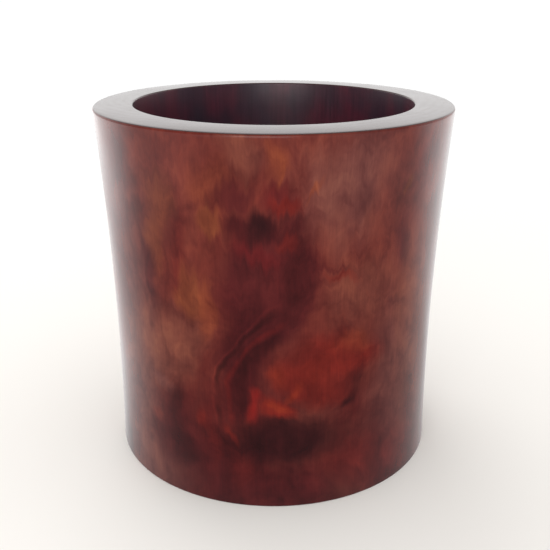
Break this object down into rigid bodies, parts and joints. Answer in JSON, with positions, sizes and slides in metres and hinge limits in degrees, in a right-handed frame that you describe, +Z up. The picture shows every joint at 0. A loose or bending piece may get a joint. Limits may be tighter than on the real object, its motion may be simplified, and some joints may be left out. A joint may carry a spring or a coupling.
{
  "type": "brush pot",
  "caption": "Waisted cylindrical hardwood brush pot with a thick flat rim, an open straight-sided inside, an inset floor disc and a plugged centre.",
  "frame": {"origin": "on the turning axis, in the plane that the foot ring stands on", "axes": "+Z up along the turning axis, -Y towards the front, where the flame figure is"},
  "size_m": [0.178, 0.178, 0.18],
  "materials": {
    "polished_hardwood": "polished satin-gloss, cloudy red-brown figure",
    "disc_hardwood": "rubbed, end grain",
    "plug_hardwood": "rubbed, end grain"
  },
  "bodies": {
    "root": {"pot_wall": "polished_hardwood", "base_disc": "disc_hardwood", "base_plug": "plug_hardwood"}
  },
  "joints": []
}
